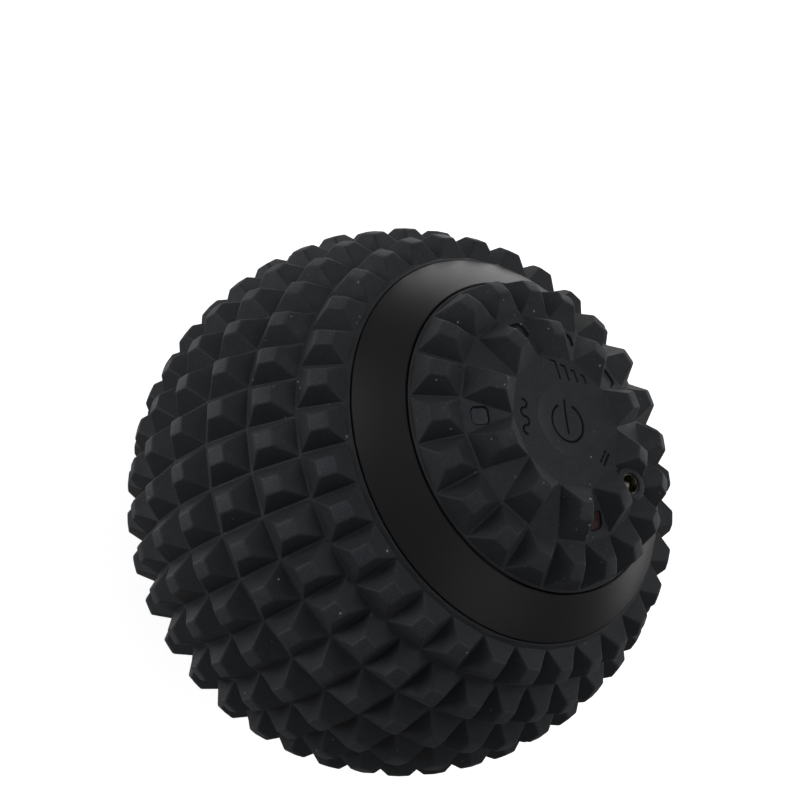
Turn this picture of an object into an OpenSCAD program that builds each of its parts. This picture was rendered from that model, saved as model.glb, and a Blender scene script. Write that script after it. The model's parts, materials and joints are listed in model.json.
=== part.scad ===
// Rechargeable vibrating massage ball: a studded silicone skin over a two-part
// plastic housing, with a motor and eccentric weights hung in the middle.
// Origin at the ball's centre, +Z out through the power button,
// +X towards the charging socket. Angles "t" run down from +Z, "f" round it.

/* [Ball] */
// Radius over the tops of the studs
top_r = 63.5; // [63:0.1:65]
// Radius at the floor of the grooves, and of the smooth bands
base_r = 59.6; // [59.4:0.1:60]
// Wall of the plastic housing
wall = 2.5; // [2:0.1:3]
// Thickness of the silicone under the grooves
skin = 2.1; // [2:0.1:2.3]
// Width of the flat floor between two studs
groove_w = 0.5; // [0.3:0.1:0.8]
// Length of a stud's flat top, along a meridian
flat_l = 4.0; // [3.4:0.1:4.6]
// Width of a stud's flat top, round the ball
flat_w = 3.7; // [3.2:0.1:4.2]

/* [Rows of studs] */
// Angle from the axis to the edge of the end cap
cap_t = 37.4; // [37:0.1:38]
// Angle from the axis to the edge of the main sleeve
sleeve_t = 49.2; // [49:0.1:50]
// Rows on the main sleeve
rows = 7; // [7]
// Studs in the first and last rows of the sleeve
studs_edge = 32; // [32]
// Studs in each row between them
studs_mid = 36; // [36]
// Studs in the cap's inner ring; its outer ring has twice as many
studs_cap = 10; // [10]
// Angle from the axis to the edge of the cap's flat face
face_t = 15.1; // [14.8:0.1:15.4]
// Angle from the axis to the groove between the cap's two rings
ring_t = 26.2; // [26:0.1:26.5]

/* [Power button] */
// Radius of the dished button
button_r = 8.35; // [8:0.05:8.5]
// Depth of the dish at its middle
dish_depth = 0.8; // [0.3:0.1:0.9]
// Travel of the button and of the switch under it
button_travel = 0.5; // [0.3:0.1:0.6]
// Radius of the power symbol
symbol_r = 4.4; // [3.6:0.1:4.6]
// Direction of the top of the power symbol
symbol_f = 124; // [110:1:130]
// Turn of the power symbol from that direction
power_turn = 3; // [-5:0.5:5]
// Offset of the power symbol from the middle of the button
power_offset = 1.15; // [0:0.05:1.5]
// Depth of engraved symbols
engrave = 0.35; // [0.2:0.05:0.5]

/* [Charging socket] */
// Radius of the socket's centre pin
pin_r = 0.825; // [0.8:0.005:0.85]
// Radius of the socket's bore
socket_r = 2.1; // [2:0.05:2.2]
// Radius of the opening in the silicone
socket_hole_r = 2.35; // [2.3:0.05:2.5]

/* [Motor and weights] */
// Radius of the motor can
motor_r = 13.9; // [13.5:0.1:14]
// Half the length of the motor can
motor_h = 19; // [18:0.5:19]
// Radius of the motor shaft
shaft_r = 1.5; // [1.5]
// Radius of the eccentric weights
weight_r = 12; // [10:0.5:12]
// Thickness of an eccentric weight
weight_h = 9; // [7:0.5:9]

/* [Battery] */
// Radius of a cell
cell_r = 9.2; // [9:0.1:9.3]
// Half the length of a cell
cell_h = 32.5; // [32.5]
// Distance from the axis to a cell's centre line
cell_x = 28.5; // [28.5:0.1:29]

/* [Hidden] */
$fn = 72;

// Radii of the layers, from the outside in. The skin's inside is a facet's
// depth clear of the round housing.
deg = 180 / PI;
skin_in_r = base_r - skin;
shell_r = skin_in_r - 0.5;
shell_in_r = shell_r - wall;
pitch_t = (180 - 2 * sleeve_t) / rows;
gap_t = 0.2;
sleeve_rim_t = sleeve_t;
cap_rim_t = cap_t - gap_t;
band_t0 = cap_t + gap_t;
band_t1 = sleeve_t - 0.28;
apron_cap = 0.6;
apron_sleeve = 1.4;
inner_sides = 36;

// The cap's flat face, and the flat end of the housing under it
face_z = base_r * cos(face_t);
plate_z = 54.5;
skin_flat_z = plate_z + 0.4;
face_gap = 0.22;

// Heights up the axis, from the board to the button
board_z = 44;
board_h = 1.6;
board_top = board_z + board_h;
board_r = 24;
switch_top = board_top + 3.5;
actuator_top = switch_top + 1;
plunger_z = actuator_top + 0.05;
button_z = plate_z + button_travel + 0.1;
plunger_r = 3.9;

// Directions of what lies in the valleys between the inner studs
valley_t = 22.3;
// The socket stands square to the board, under a round land level with the face
socket_x = 21.4;
land_r = 4;
level_f = [72, 108, 144];
mode_f = 216;
charge_f = 324;
window_fs = concat(level_f, [mode_f, charge_f]);
window_w = 3.9;
window_r = 1.1;
window_stem_r = 1.5;
window_in = 52.4;
window_out = 58.85;
led_rho = 19.4;

// Screw posts, board posts and screws
post_rho = 31;
post_r = 3.5;
post_fs = [45, 135, 225, 315];
seat_z = 8;
board_post_rho = 21;
board_post_fs = [36, 180, 270];
joint_gap = 0.2;

// The pads on the ends of the cells, which ribs in the shells press on
strap_h = 0.3;
pad_h = 1.5;
pad_top = cell_h + strap_h + 0.05 + pad_h;

// ---------------------------------------------------------------- helpers
// Point at radius r, angle t down from +Z and angle f round it
function sph(r, t, f) = [r * sin(t) * cos(f), r * sin(t) * sin(f), r * cos(t)];

// A stud's eight points: base corners b, each [t, f], then the flat top's,
// whose middle is at angles tc and fc
function stud_points(b, tc, fc) =
    let (ht = flat_l / 2 / top_r * deg,
         hf = flat_w / 2 / (top_r * sin(tc)) * deg)
    concat([for (q = b) sph(base_r, q[0], q[1])],
           [for (q = [[-ht, -hf], [-ht, hf], [ht, hf], [ht, -hf]])
               sph(top_r, tc + q[0], fc + q[1])]);

// The triangles of a stud whose first point is number o
function stud_faces(o) =
    [for (f = [[4, 5, 6], [4, 6, 7], [0, 1, 5], [0, 5, 4], [1, 2, 6], [1, 6, 5],
               [2, 3, 7], [2, 7, 6], [3, 0, 4], [3, 4, 7]])
        [for (i = f) o + i]];

// The groove floor between neighbouring studs o and p of one row
function floor_faces(o, p) = [[o + 1, p, p + 3], [o + 1, p + 3, o + 2]];

// Angle from a stud's middle to its base corner, for n studs at angle t
function half_f(n, t) = 180 / n - groove_w / 2 / (base_r * sin(t)) * deg;

// Triangles that join ring A to ring B below it. A ring is a list of
// [angle, point number], in order round the axis.
function ends(A) = [for (i = [1:len(A)]) i < len(A) ? A[i][0] : A[0][0] + 360];
function below(list, v) = len([for (x = list) if (x < v - 0.0001) 1]);
function upto(list, v) = len([for (x = list) if (x <= v + 0.0001) 1]);
function zip(A, B) =
    let (n = len(A), m = len(B), a = ends(A), b = ends(B))
    concat([for (i = [0:n - 1])
               [A[i][1], A[(i + 1) % n][1], B[below(b, a[i]) % m][1]]],
           [for (j = [0:m - 1])
               [B[(j + 1) % m][1], B[j][1], A[upto(a, b[j]) % n][1]]]);

// A round ring of n points at radius r and angle t
function ring_points(n, r, t) = [for (i = [0:n - 1]) sph(r, t, 360 / n * i)];
function ring_list(n, o) = [for (i = [0:n - 1]) [360 / n * i, o + i]];

// Moves things to the direction t, f, with +Z pointing outwards
module toward(t, f) {
    rotate([0, t, f])
        children();
}

// A belt of the ball between the cones at angles t0 and t1, from radius r0 out
// to radius r1, with its outer edges cut back by c
module belt(t0, t1, r0, r1, c) {
    e = c / r1 * deg;
    far_r = r1 * 1.2;
    rotate_extrude()
        intersection() {
            circle(r = r1, $fn = 360);
            polygon([for (q = [[r0, t0], [r1 - c, t0], [r1, t0 + e], [far_r, t0 + e],
                               [far_r, t1 - e], [r1, t1 - e], [r1 - c, t1], [r0, t1]])
                        [q[0] * sin(q[1]), q[0] * cos(q[1])]]);
        }
}

module tube(r_out, r_in, h) {
    difference() {
        cylinder(r = r_out, h = h);
        translate([0, 0, -1])
            cylinder(r = r_in, h = h + 2);
    }
}

// A square with rounded corners, in the plane
module round_square(w, r) {
    square([w - 2 * r, w], center = true);
    square([w, w - 2 * r], center = true);
    for (x = [-1, 1])
        for (y = [-1, 1])
            translate([x * (w / 2 - r), y * (w / 2 - r)])
                circle(r = r, $fn = 24);
}

// A straight line with round ends, in the plane
module stroke(a, b, w) {
    l = norm(b - a);
    translate(a)
        rotate(atan2(b[1] - a[1], b[0] - a[0])) {
            translate([0, -w / 2])
                square([l, w]);
            circle(r = w / 2, $fn = 24);
            translate([l, 0])
                circle(r = w / 2, $fn = 24);
        }
}

// ---------------------------------------------------------- silicone skins
// First angle and number of studs of a row of the sleeve
function row_t(r) = sleeve_t + pitch_t * r;
function row_n(r) = r == 0 || r == rows - 1 ? studs_edge : studs_mid;
// The middle of stud i: the edge rows have a stud at +X, the others a groove
function row_f(r, i) = row_n(r) == studs_edge ? 360 / studs_edge * i
                                              : 360 / studs_mid * (i + 0.5);
function row_start(r) = r == 0 ? 0 : 8 * (studs_edge + studs_mid * (r - 1));

function row_base(r, i) =
    let (g = groove_w / 2 / base_r * deg,
         t0 = row_t(r) + (r == 0 ? apron_sleeve : g),
         t1 = row_t(r + 1) - (r == rows - 1 ? apron_sleeve : g),
         f = row_f(r, i), n = row_n(r))
    [[t0, f - half_f(n, t0)], [t0, f + half_f(n, t0)],
     [t1, f + half_f(n, t1)], [t1, f - half_f(n, t1)]];

// The points along a row's upper edge (side 0) or lower edge (side 1)
function row_edge(r, side) =
    [for (i = [0:row_n(r) - 1])
        let (b = row_base(r, i), o = row_start(r) + 8 * i)
        each side == 0 ? [[b[0][1], o], [b[1][1], o + 1]]
                       : [[b[3][1], o + 3], [b[2][1], o + 2]]];

module main_sleeve() {
    stud_total = 8 * (2 * studs_edge + (rows - 2) * studs_mid);
    rim_n = 2 * studs_edge;
    steps = 13;
    rim_f = [for (e = row_edge(0, 0)) e[0]];
    points = concat(
        [for (r = [0:rows - 1])
            for (i = [0:row_n(r) - 1])
                each stud_points(row_base(r, i), (row_t(r) + row_t(r + 1)) / 2, row_f(r, i))],
        [for (f = rim_f) sph(base_r, sleeve_rim_t, f)],
        [for (f = rim_f) sph(base_r, 180 - sleeve_rim_t, f)],
        [for (k = [0:steps])
            each ring_points(inner_sides, skin_in_r,
                             sleeve_rim_t + (180 - 2 * sleeve_rim_t) * k / steps)]);
    rim_top = [for (i = [0:rim_n - 1]) [rim_f[i], stud_total + i]];
    rim_low = [for (i = [0:rim_n - 1]) [rim_f[i], stud_total + rim_n + i]];
    inner = [for (k = [0:steps])
                ring_list(inner_sides, stud_total + 2 * rim_n + inner_sides * k)];
    faces = concat(
        zip(rim_top, row_edge(0, 0)),
        [for (r = [0:rows - 1])
            for (i = [0:row_n(r) - 1])
                each concat(stud_faces(row_start(r) + 8 * i),
                            floor_faces(row_start(r) + 8 * i,
                                        row_start(r) + 8 * ((i + 1) % row_n(r))))],
        [for (r = [0:rows - 2]) each zip(row_edge(r, 1), row_edge(r + 1, 0))],
        zip(row_edge(rows - 1, 1), rim_low),
        zip(rim_low, inner[steps]),
        [for (k = [0:steps - 1]) each zip(inner[k + 1], inner[k])],
        zip(inner[0], rim_top));
    color([0.07, 0.075, 0.085])
        polyhedron(points, faces, convexity = 10);
}

// Base corners of stud i in the cap's inner ring. They narrow outwards, so
// that a flat three-sided valley opens between each two.
valley_half = 180 / (2 * studs_cap);
function inner_base(i) =
    let (g = groove_w / 2 / base_r * deg,
         g0 = groove_w / 2 / (base_r * sin(face_t)) * deg,
         step = 360 / studs_cap)
    [[face_t, step * i + g0], [face_t, step * (i + 1) - g0],
     [ring_t - g, step * (i + 1) - valley_half], [ring_t - g, step * i + valley_half]];

function outer_base(i) =
    let (g = groove_w / 2 / base_r * deg, n = 2 * studs_cap, f = 360 / n * i,
         t0 = ring_t + g, t1 = cap_rim_t - apron_cap)
    [[t0, f - half_f(n, t0)], [t0, f + half_f(n, t0)],
     [t1, f + half_f(n, t1)], [t1, f - half_f(n, t1)]];

// The studded cap, solid across its middle
module cap_solid() {
    n_in = studs_cap;
    n_out = 2 * studs_cap;
    inner_flat_t = 19.6;
    outer_flat_t = 31.6;
    inner_ts = [cap_rim_t, 32, 27, 22, acos(skin_flat_z / skin_in_r)];
    o_out = 8 * n_in;
    o_rim = o_out + 8 * n_out;
    o_in = o_rim + 2 * n_out;
    o_mid = o_in + inner_sides * len(inner_ts);
    rim_f = [for (i = [0:n_out - 1]) each [outer_base(i)[3][1], outer_base(i)[2][1]]];
    points = concat(
        [for (i = [0:n_in - 1])
            each stud_points(inner_base(i), inner_flat_t, 360 / n_in * (i + 0.5))],
        [for (i = [0:n_out - 1])
            each stud_points(outer_base(i), outer_flat_t, 360 / n_out * i)],
        [for (f = rim_f) sph(base_r, cap_rim_t, f)],
        [for (t = inner_ts) each ring_points(inner_sides, skin_in_r, t)],
        [[0, 0, face_z], [0, 0, skin_flat_z]]);
    face_edge = [for (i = [0:n_in - 1]) each [8 * i, 8 * i + 1]];
    inner_low = [for (i = [0:n_in - 1])
                    each [[360 / n_in * i - valley_half, 8 * ((i + n_in - 1) % n_in) + 2],
                          [360 / n_in * i + valley_half, 8 * i + 3]]];
    outer_up = [for (i = [0:n_out - 1])
                   each [[outer_base(i)[0][1], o_out + 8 * i],
                         [outer_base(i)[1][1], o_out + 8 * i + 1]]];
    outer_low = [for (i = [0:n_out - 1])
                    each [[outer_base(i)[3][1], o_out + 8 * i + 3],
                          [outer_base(i)[2][1], o_out + 8 * i + 2]]];
    rim = [for (i = [0:2 * n_out - 1]) [rim_f[i], o_rim + i]];
    inner = [for (k = [0:len(inner_ts) - 1]) ring_list(inner_sides, o_in + inner_sides * k)];
    last = inner[len(inner_ts) - 1];
    faces = concat(
        [for (i = [0:2 * n_in - 1])
            [face_edge[(i + 1) % (2 * n_in)], face_edge[i], o_mid]],
        [for (i = [0:n_in - 1])
            each concat(stud_faces(8 * i), floor_faces(8 * i, 8 * ((i + 1) % n_in)))],
        zip(inner_low, outer_up),
        [for (i = [0:n_out - 1])
            each concat(stud_faces(o_out + 8 * i),
                        floor_faces(o_out + 8 * i, o_out + 8 * ((i + 1) % n_out)))],
        zip(outer_low, rim),
        zip(rim, inner[0]),
        [for (k = [0:len(inner_ts) - 2]) each zip(inner[k], inner[k + 1])],
        [for (i = [0:inner_sides - 1])
            [last[i][1], last[(i + 1) % inner_sides][1], o_mid + 1]]);
    polyhedron(points, faces, convexity = 10);
}

// Engraved symbols on the flat face, in the plane. Each stands on its own
// direction f, its foot towards the rim.
line_w = 0.45;
module level_symbol() {
    foot_y = 10.2;
    slant = 0.26;
    rotate(symbol_f - 90)
        for (i = [0:3]) {
            rise = 3.85 - 0.78 * i;
            x = 0.2 + 2.55 * i;
            stroke([x, foot_y], [x - slant * rise, foot_y + rise], line_w);
            stroke([x - slant * rise, foot_y + rise],
                   [x - slant * rise - 1.2 + 0.15 * i, foot_y + rise + 0.15], line_w);
        }
}
module wave_symbol() {
    wave_r = 1;
    rotate(mode_f - 90)
        for (i = [-1.5:1:1.5])
            translate([i * 2 * wave_r, 11.9])
                intersection() {
                    difference() {
                        circle(r = wave_r + line_w / 2, $fn = 32);
                        circle(r = wave_r - line_w / 2, $fn = 32);
                    }
                    translate([0, (i % 2 > 0 || i == -1.5 ? 1 : -1) * wave_r])
                        square([4 * wave_r, 2 * wave_r], center = true);
                }
}
module dc_symbol() {
    rotate(-90) {
        translate([0, 13.2])
            square([3.6, line_w], center = true);
        for (x = [-1.3, 0, 1.3])
            translate([x, 12.1])
                square([0.9, line_w], center = true);
    }
}
module power_symbol() {
    gap_a = 30;
    rotate(symbol_f - 90 + power_turn)
        translate([power_offset, 0]) {
        difference() {
            circle(r = symbol_r + line_w / 2);
            circle(r = symbol_r - line_w / 2);
            polygon([[0, 0], [9 * sin(gap_a), 9 * cos(gap_a)], [-9 * sin(gap_a), 9 * cos(gap_a)]]);
        }
        stroke([0, -2.4], [0, 5.2], line_w);
    }
}

module control_cap() {
    color([0.07, 0.075, 0.085])
        difference() {
            union() {
                cap_solid();
                intersection() {
                    translate([socket_x, 0, 50])
                        cylinder(r = land_r, h = face_z - 50);
                    toward(valley_t, 0)
                        translate([-15, -15, 58.5])
                            cube([30, 30, 10]);
                }
            }
            translate([0, 0, plate_z - 1])
                cylinder(r = button_r + face_gap, h = 5);
            translate([socket_x, 0, 50])
                cylinder(r = socket_hole_r, h = 14);
            for (f = window_fs)
                toward(valley_t, f)
                    translate([0, 0, 50])
                        linear_extrude(12)
                            round_square(window_w + 0.2, window_r);
            translate([0, 0, face_z - engrave])
                linear_extrude(2) {
                    level_symbol();
                    wave_symbol();
                    dc_symbol();
                }
        }
}

module far_cap() {
    color([0.07, 0.075, 0.085])
        mirror([0, 0, 1])
            cap_solid();
}

// ------------------------------------------------------------ power button
module power_button() {
    edge_r = button_r - 0.3;
    dish_r = (edge_r * edge_r + dish_depth * dish_depth) / (2 * dish_depth);
    color([0.08, 0.085, 0.095])
        difference() {
            translate([0, 0, button_z])
                cylinder(r = button_r, h = face_z - button_z);
            rotate_extrude()
                intersection() {
                    translate([0, face_z - dish_depth + dish_r])
                        circle(r = dish_r, $fn = 720);
                    translate([0, face_z - 2])
                        square([edge_r + 1, 3]);
                }
            translate([0, 0, face_z - dish_depth - engrave])
                linear_extrude(2)
                    power_symbol();
            translate([0, 0, button_z - 1])
                cylinder(r = plunger_r - 1, h = 1.8);
        }
}

// The hard stem under the button, with a collar that keeps it in the plate
module button_plunger() {
    collar_r = 4.8;
    collar_z = plate_z - wall - 1.1;
    color([0.15, 0.15, 0.16]) {
        translate([0, 0, plunger_z])
            cylinder(r = plunger_r, h = button_z - plunger_z);
        translate([0, 0, button_z])
            cylinder(r = plunger_r - 1.1, h = 0.7);
        translate([0, 0, collar_z])
            cylinder(r = collar_r, h = 0.8);
    }
}

module switch_body() {
    color([0.12, 0.12, 0.13])
        difference() {
            translate([-3, -3, board_top])
                cube([6, 6, switch_top - board_top]);
            translate([0, 0, switch_top - 1.8])
                cylinder(r = 2, h = 3);
        }
}

module switch_actuator() {
    color([0.6, 0.1, 0.1])
        translate([0, 0, switch_top - 0.9])
            cylinder(r = 1.7, h = actuator_top - switch_top + 0.9);
}

// ----------------------------------------------------------------- housing
// The half shell, above the joint plane, with its smooth outer band, the
// ledge that clamps the cradle and the ribs that hold the cells
module half_shell() {
    difference() {
        union() {
            intersection() {
                sphere(r = shell_r);
                translate([0, 0, plate_z / 2])
                    cube([130, 130, plate_z], center = true);
            }
            belt(band_t0, band_t1, shell_r - 1, base_r, 0.2);
        }
        intersection() {
            sphere(r = shell_in_r);
            translate([0, 0, plate_z - wall - 60])
                cube([130, 130, 120], center = true);
        }
    }
    difference() {
        intersection() {
            sphere(r = shell_r - 1);
            translate([0, 0, 3.1])
                cube([130, 130, 2.8], center = true);
        }
        cylinder(r = 50.5, h = 20, center = true);
    }
    intersection() {
        for (s = [-1, 1])
            translate([s * cell_x, 0, pad_top])
                cylinder(r = 3, h = 20);
        sphere(r = shell_in_r + 1);
    }
}

// A screw post from the joint plane up into the shell, at direction f
module shell_post(f) {
    intersection() {
        rotate(f)
            translate([post_rho, 0, joint_gap])
                cylinder(r = post_r, h = 60);
        sphere(r = shell_in_r + 1);
    }
}

module upper_housing() {
    color([0.05, 0.05, 0.05])
        difference() {
            union() {
                half_shell();
                for (f = post_fs)
                    shell_post(f);
                for (f = board_post_fs)
                    rotate(f)
                        translate([board_post_rho, 0, board_top])
                            cylinder(r = 2.4, h = 51.4 - board_top);
            }
            for (f = post_fs)
                rotate(f)
                    translate([post_rho, 0, -1])
                        cylinder(r = 1.55, h = 14);
            for (f = board_post_fs)
                rotate(f)
                    translate([board_post_rho, 0, board_top - 1])
                        cylinder(r = 1.05, h = 5);
            translate([0, 0, plate_z - 10])
                cylinder(r = plunger_r + 0.3, h = 20);
            translate([socket_x, 0, 43])
                cylinder(r = 3.5, h = 25);
            for (f = window_fs)
                toward(valley_t, f)
                    translate([0, 0, 48])
                        cylinder(r = window_stem_r + 0.1, h = 12);
        }
}

module lower_housing() {
    color([0.05, 0.05, 0.05])
        mirror([0, 0, 1])
            difference() {
                union() {
                    half_shell();
                    for (f = post_fs)
                        shell_post(f);
                }
                rotate_extrude()
                    translate([shell_r - 1.75, -0.01])
                        square([1.1, 1.1]);
                for (f = post_fs)
                    rotate(f)
                        translate([post_rho, 0, -1]) {
                            cylinder(r = 1.7, h = 40);
                            translate([0, 0, seat_z + 1])
                                cylinder(r = 3.1 - 0.1, h = 60);
                        }
            }
}

module housing_seal() {
    color([0.3, 0.3, 0.3])
        rotate_extrude()
            translate([shell_r - 1.7, -1])
                square([1, 0.95]);
}

module screw(head_r, head_h, shank_r, shank_l) {
    difference() {
        translate([0, 0, -head_h])
            cylinder(r = head_r, h = head_h);
        translate([0, 0, -head_h - 0.1])
            cylinder(r = head_r * 0.45, h = head_h * 0.6, $fn = 6);
    }
    cylinder(r = shank_r, h = shank_l);
}

module housing_screws() {
    color([0.6, 0.6, 0.62])
        for (f = post_fs)
            rotate(f)
                translate([post_rho, 0, -seat_z])
                    screw(2.7, 2.2, 1.45, 18);
}

// ------------------------------------------------------------------- board
module control_board() {
    color([0.05, 0.3, 0.15])
        difference() {
            translate([0, 0, board_z])
                cylinder(r = board_r, h = board_h);
            translate([socket_x, 0, 30])
                cylinder(r = 4.2, h = 30);
            translate([14, -4.6, board_z - 1])
                cube([20, 9.2, board_h + 2]);
            for (f = board_post_fs)
                rotate(f)
                    translate([board_post_rho, 0, board_z - 1])
                        cylinder(r = 1.2, h = board_h + 2);
        }
}

module board_screws() {
    color([0.6, 0.6, 0.62])
        for (f = board_post_fs)
            rotate(f)
                translate([board_post_rho, 0, board_z])
                    screw(1.8, 1.2, 0.95, board_h + 3);
}

module board_chips() {
    color([0.1, 0.1, 0.1]) {
        translate([-13, -3.5, board_top])
            cube([7, 7, 1]);
        translate([-4, 7, board_top])
            cube([5, 4, 1.4]);
        translate([4, -14, board_top])
            cube([6, 5, 2]);
        translate([-8, -14, board_z - 3.5])
            cylinder(r = 3, h = 3.5);
    }
}

module lead_connectors() {
    color([0.9, 0.9, 0.85])
        for (x = [-12, 6])
            translate([x, 8, board_z - 4.5])
                cube([6, 4.5, 4.5]);
}

module led(f) {
    rotate(f)
        translate([led_rho - 1.4, -1.4, board_top])
            cube([2.8, 2.8, 1.2]);
}
module level_leds() {
    color([0.9, 0.9, 0.8])
        for (f = level_f)
            led(f);
}
module mode_led() {
    color([0.3, 0.4, 0.9])
        led(mode_f);
}
module charge_led() {
    color([0.8, 0.15, 0.1])
        led(charge_f);
}

// A lens in the skin, with the light pipe that stands over its lamp
module window(f) {
    toward(valley_t, f) {
        translate([0, 0, window_in])
            cylinder(r = window_stem_r, h = window_out - window_in);
        translate([0, 0, shell_r + 0.1])
            linear_extrude(window_out - shell_r - 0.1)
                round_square(window_w, window_r);
    }
}
module level_windows() {
    color([0.1, 0.1, 0.12])
        for (f = level_f)
            window(f);
}
module mode_window() {
    color([0.1, 0.1, 0.16])
        window(mode_f);
}
module charge_window() {
    color([0.2, 0.05, 0.05])
        window(charge_f);
}

// --------------------------------------------------------- charging socket
socket_floor = 46.5;
socket_mouth = 51.6;
sleeve_len = 10.5;
pin_len = 9.4;
module dc_jack_body() {
    color([0.1, 0.1, 0.1])
        translate([socket_x, 0, 0])
            difference() {
                translate([0, 0, 43.5])
                    cylinder(r = 3.4, h = socket_mouth - 43.5);
                translate([0, 0, socket_floor])
                    cylinder(r = socket_r + 0.2, h = 20);
                translate([0, 0, 40])
                    cylinder(r = 1.05, h = 10);
            }
}
module dc_jack_sleeve() {
    color([0.75, 0.75, 0.75])
        translate([socket_x, 0, 0])
            translate([0, 0, socket_floor])
                tube(socket_r + 0.15, socket_r, sleeve_len);
}
module dc_pin() {
    color([0.8, 0.75, 0.6])
        translate([socket_x, 0, 0]) {
            translate([0, 0, 44])
                cylinder(r = 1, h = socket_floor - 44);
            translate([0, 0, socket_floor])
                cylinder(r = pin_r, h = pin_len);
            translate([0, 0, socket_floor + pin_len])
                cylinder(r1 = pin_r, r2 = pin_r / 2, h = 0.4);
        }
}

// ------------------------------------------------------ cradle and battery
// Upper half of the frame that hangs the motor and cells from the housing
module half_cradle() {
    tube_h = 20;
    difference() {
        union() {
            cylinder(r = 18.4, h = 15);
            for (s = [-1, 1])
                translate([s * cell_x, 0, 0])
                    cylinder(r = cell_r + 1.7, h = tube_h);
            translate([0, 0, 4])
                cube([3, 99, 8], center = true);
            translate([0, 0, 4])
                cube([99, 3, 8], center = true);
            tube(54, 49, 1.5);
        }
        translate([0, 0, -1])
            cylinder(r = 16.1, h = tube_h + 2);
        for (s = [-1, 1])
            translate([s * cell_x, 0, -1])
                cylinder(r = cell_r + 0.15, h = tube_h + 2);
    }
}
module cradle_upper() {
    color([0.25, 0.26, 0.28])
        intersection() {
            translate([0, 0, 0.05])
                half_cradle();
            cylinder(r = 54, h = 40);
        }
}
module cradle_lower() {
    color([0.25, 0.26, 0.28])
        mirror([0, 0, 1])
            intersection() {
                translate([0, 0, 0.05])
                    half_cradle();
                cylinder(r = 54, h = 40);
            }
}

module battery_cells() {
    color([0.15, 0.35, 0.6])
        for (s = [-1, 1])
            translate([s * cell_x, 0, -cell_h])
                cylinder(r = cell_r, h = 2 * cell_h);
}

// Nickel straps: one across the low ends, one tab on each upper end
tab_end = 9;
module cell_straps() {
    strap_w = 7;
    tab_w = 5;
    color([0.75, 0.75, 0.72]) {
        translate([-cell_x - 5, -strap_w / 2, -cell_h - strap_h])
            cube([2 * cell_x + 10, strap_w, strap_h]);
        for (s = [-1, 1])
            translate([s * cell_x - tab_w / 2, -tab_end / 2, cell_h])
                cube([tab_w, 1.5 * tab_end, strap_h]);
    }
}

// Rubber pads over the cells' ends, on top of the straps
module cell_pads() {
    color([0.2, 0.2, 0.2])
        for (s = [-1, 1])
            for (m = [0, 1])
                mirror([0, 0, m])
                    translate([s * cell_x, 0, pad_top - pad_h])
                        cylinder(r = 7.5, h = pad_h);
}

// A round lead through a list of points
module lead(points) {
    lead_r = 0.7;
    for (i = [0:len(points) - 2]) {
        v = points[i + 1] - points[i];
        translate(points[i])
            rotate([0, acos(v[2] / norm(v)), atan2(v[1], v[0])])
                cylinder(r = lead_r, h = norm(v), $fn = 24);
        translate(points[i])
            sphere(r = lead_r, $fn = 24);
    }
}
plug_z = board_z - 4.55;
module motor_leads() {
    foot_z = motor_h + 1;
    color([0.7, 0.1, 0.1])
        for (x = [7.8, 10.6])
            lead([[x, 7, foot_z], [x, 11.5, foot_z + 0.5], [x, 11.5, plug_z]]);
}
module battery_leads() {
    foot_y = 8.3;
    foot_z = cell_h + strap_h + 0.75;
    color([0.7, 0.1, 0.1]) {
        lead([[-cell_x, foot_y, foot_z], [-cell_x, foot_y, 36], [-10.4, foot_y, 36],
              [-10.4, 10.4, 36], [-10.4, 10.4, plug_z]]);
        lead([[cell_x, foot_y, foot_z], [cell_x, foot_y, 37.6], [-7.4, foot_y, 37.6],
              [-7.4, 10.4, 37.6], [-7.4, 10.4, plug_z]]);
    }
}

// ------------------------------------------------------------------- motor
module motor_can() {
    color([0.7, 0.7, 0.72])
        difference() {
            translate([0, 0, -motor_h])
                cylinder(r = motor_r, h = 2 * motor_h);
            translate([0, 0, -motor_h + 1.2])
                cylinder(r = motor_r - 1.2, h = 2 * motor_h);
            translate([0, 0, -motor_h - 1])
                cylinder(r = 3.25, h = 4);
        }
}
module motor_end_bell() {
    color([0.1, 0.1, 0.1])
        difference() {
            translate([0, 0, motor_h - 3])
                cylinder(r = motor_r - 1.25, h = 3.2);
            translate([0, 0, motor_h - 4])
                cylinder(r = 3.25, h = 6);
        }
}
module motor_magnets() {
    color([0.3, 0.3, 0.3])
        for (a = [0, 180])
            rotate(a)
                intersection() {
                    translate([0, 0, -11])
                        tube(motor_r - 1.3, 10.4, 22);
                    translate([8, -10, -11])
                        cube([8, 20, 22]);
                }
}
module motor_brushes() {
    color([0.2, 0.2, 0.2])
        for (a = [0, 180])
            rotate(a)
                translate([-1, 4.1, 12.2])
                    cube([2, 4, motor_h - 3 - 12.2]);
}
module motor_bushes() {
    color([0.75, 0.55, 0.3])
        for (m = [0, 1])
            mirror([0, 0, m])
                translate([0, 0, motor_h - 2.8])
                    tube(3.2, shaft_r + 0.04, 3.2);
}
module motor_dampers() {
    color([0.12, 0.12, 0.12])
        for (m = [0, 1])
            mirror([0, 0, m])
                translate([0, 0, 7])
                    tube(16, motor_r + 0.05, 6);
}
module motor_shaft() {
    color([0.8, 0.8, 0.82])
        translate([0, 0, -31.5])
            cylinder(r = shaft_r, h = 63);
}
module motor_rotor() {
    color([0.6, 0.35, 0.15])
        difference() {
            union() {
                translate([0, 0, -10])
                    cylinder(r = 9.6, h = 20);
                translate([0, 0, -14])
                    cylinder(r = 7.5, h = 24);
            }
            for (a = [0, 120, 240])
                rotate(a)
                    translate([9.6, 0, -10.5])
                        cylinder(r = 1.6, h = 21);
            translate([0, 0, -20])
                cylinder(r = shaft_r + 0.02, h = 40);
        }
}
module commutator() {
    color([0.8, 0.5, 0.25])
        translate([0, 0, 10.5])
            tube(3.7, shaft_r + 0.02, 5);
}

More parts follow.
